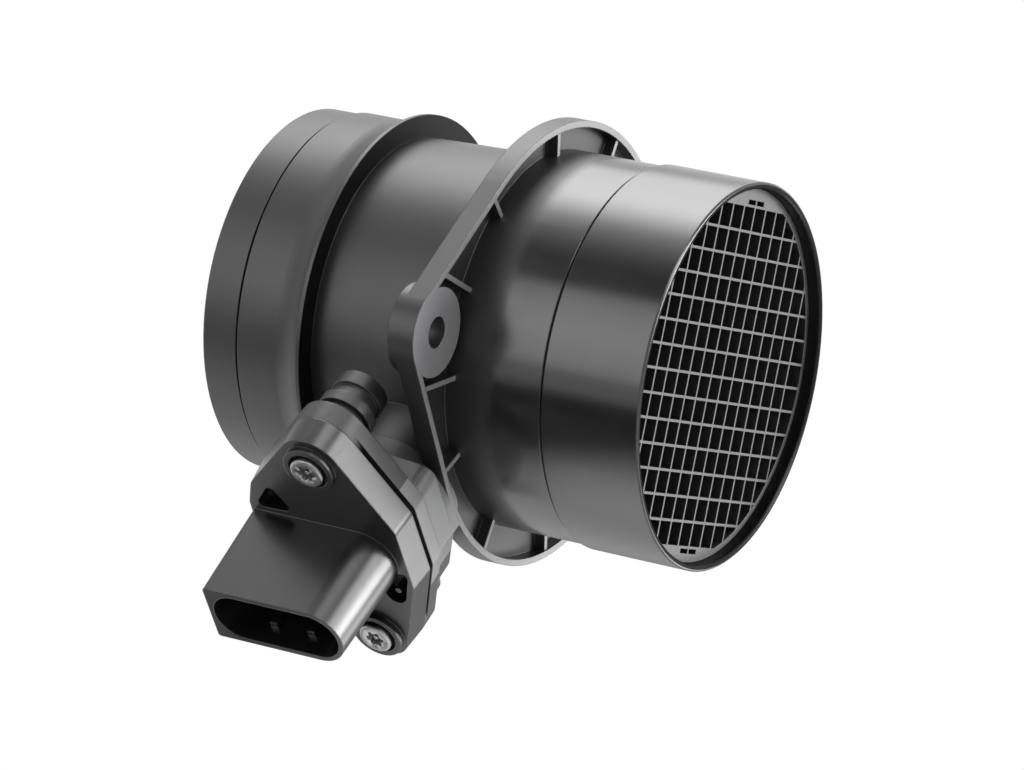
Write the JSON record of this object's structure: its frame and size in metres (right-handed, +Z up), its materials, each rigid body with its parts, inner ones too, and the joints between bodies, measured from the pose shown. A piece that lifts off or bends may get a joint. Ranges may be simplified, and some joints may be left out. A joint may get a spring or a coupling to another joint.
{
  "type": "mass airflow sensor",
  "caption": "Hot-film airflow sensor: short plastic duct with an inlet grid, a two-ear flange, a hose collar and a screwed-on plug-in sensor with a keyed connector.",
  "frame": {"origin": "on the duct's axis, in the flange's mounting face, midway between the two bolt holes", "axes": "+X along the duct's axis from the outlet to the inlet grid, out of the mounting face; +Z up, away from the sensor's side; +Y towards the ear that is farther from the connector"},
  "size_m": [0.1051, 0.1296, 0.1186],
  "materials": {
    "housing_plastic": "moulded satin, dark grey",
    "sensor_plastic": "moulded satin, dark grey",
    "grid_plastic": "moulded satin, mid grey",
    "screen_steel": "woven stainless wire",
    "base_aluminium": "stamped sheet",
    "board_ceramic": "fired ceramic with a thin glaze",
    "chip_black": "moulded package",
    "chip_silicon": "polished",
    "pin_tin": "tinned contact metal",
    "bead_glass": "glossy coated bead",
    "seal_rubber": "smooth rubber",
    "screw_steel": "zinc-plated steel"
  },
  "bodies": {
    "root": {"tube_housing": "housing_plastic", "inlet_grid": "grid_plastic", "screen_retaining_ring": "grid_plastic", "wire_screen": "screen_steel", "sensor_housing": "sensor_plastic", "hybrid_cover": "sensor_plastic", "channel_cover": "sensor_plastic", "base_plate": "base_aluminium", "hybrid_board": "board_ceramic", "evaluation_chip": "chip_black", "chip_capacitor_1": "chip_black", "chip_capacitor_2": "chip_black", "chip_carrier": "board_ceramic", "hot_film_chip": "chip_silicon", "pin_1": "pin_tin", "pin_2": "pin_tin", "pin_3": "pin_tin", "pin_4": "pin_tin", "pin_5": "pin_tin", "thermistor_lead_1": "pin_tin", "thermistor_lead_2": "pin_tin", "air_thermistor": "bead_glass", "seal_ring": "seal_rubber", "screw_upper": "screw_steel", "screw_lower": "screw_steel"}
  },
  "joints": []
}
